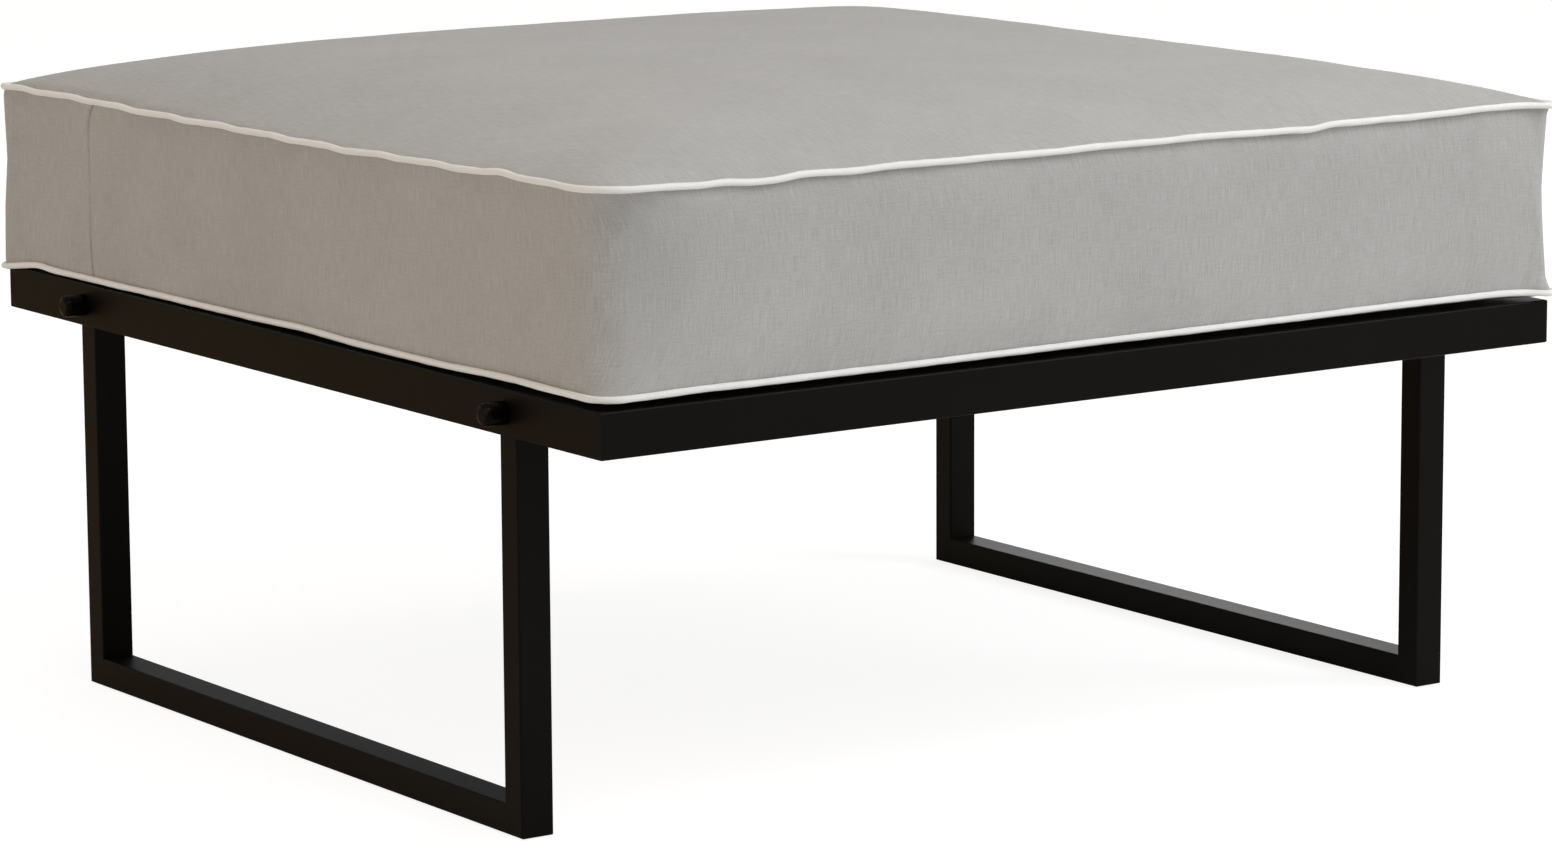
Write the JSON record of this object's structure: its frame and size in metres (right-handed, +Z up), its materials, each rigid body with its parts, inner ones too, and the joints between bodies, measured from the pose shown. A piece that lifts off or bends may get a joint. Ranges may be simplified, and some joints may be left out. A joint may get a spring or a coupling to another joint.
{
  "type": "outdoor ottoman",
  "caption": "Square outdoor ottoman: a loose piped box cushion on a black tube frame with sled legs and linking pegs.",
  "frame": {"origin": "on the floor, under the middle of the whole outline, pegs included", "axes": "+X to the right along the front, -X is the side with the pegs, -Y is the front, +Z is up"},
  "size_m": [0.7979, 0.7828, 0.4527],
  "materials": {
    "frame_black": "fine matte powder coat",
    "peg_black": "satin black coated steel",
    "rivet_nut_steel": "black zinc plated",
    "glide_nylon": "black nylon",
    "socket_nylon": "black nylon",
    "cover_fabric": "fine plain-weave heather grey outdoor cloth",
    "welt_fabric": "off-white piping cloth",
    "foam": "open-cell foam",
    "polyester_wrap": "polyester fibre",
    "zip_plastic": "grey nylon coil on woven tape",
    "zip_metal": "grey enamelled die casting"
  },
  "bodies": {
    "frame": {"front_rail": "frame_black", "back_rail": "frame_black", "left_rail": "frame_black", "right_rail": "frame_black", "seat_slat_1": "frame_black", "seat_slat_2": "frame_black", "seat_slat_3": "frame_black", "seat_slat_4": "frame_black", "seat_slat_5": "frame_black", "seat_slat_6": "frame_black", "seat_slat_7": "frame_black", "deck_stiffener": "frame_black", "left_front_upright": "frame_black", "left_back_upright": "frame_black", "left_runner": "frame_black", "right_front_upright": "frame_black", "right_back_upright": "frame_black", "right_runner": "frame_black", "glide_left_front": "glide_nylon", "glide_left_back": "glide_nylon", "glide_right_front": "glide_nylon", "glide_right_back": "glide_nylon", "connector_pin_front": "peg_black", "connector_pin_back": "peg_black", "pin_rivet_nuts": "rivet_nut_steel", "connector_socket_front": "socket_nylon", "connector_socket_back": "socket_nylon"},
    "cushion": {"foam_core": "foam", "fibre_wrap": "polyester_wrap", "top_panel": "cover_fabric", "bottom_panel": "cover_fabric", "boxing_band": "cover_fabric", "zip_end_left": "cover_fabric", "zip_end_right": "cover_fabric", "zip_band_upper": "cover_fabric", "zip_band_lower": "cover_fabric", "top_welt": "welt_fabric", "bottom_welt": "welt_fabric", "zip_stringer_upper": "zip_plastic", "zip_stringer_lower": "zip_plastic"},
    "zip_slider": {"zip_slider": "zip_metal"},
    "zip_pull": {"zip_pull": "zip_metal"}
  },
  "joints": [
    {"name": "cushion_lift", "type": "slide", "parent": "frame", "child": "cushion", "axis": [0, 0, 1], "range_m": [0, 0.25]},
    {"name": "zip_slide", "type": "slide", "parent": "cushion", "child": "zip_slider", "axis": [-1, 0, 0], "range_m": [0, 0.6174]},
    {"name": "zip_pull_swing", "type": "hinge", "parent": "zip_slider", "child": "zip_pull", "pos_m": [0.31695, 0.38755, 0.3617], "axis": [0, 0, -1], "range_deg": [0, 175]}
  ]
}
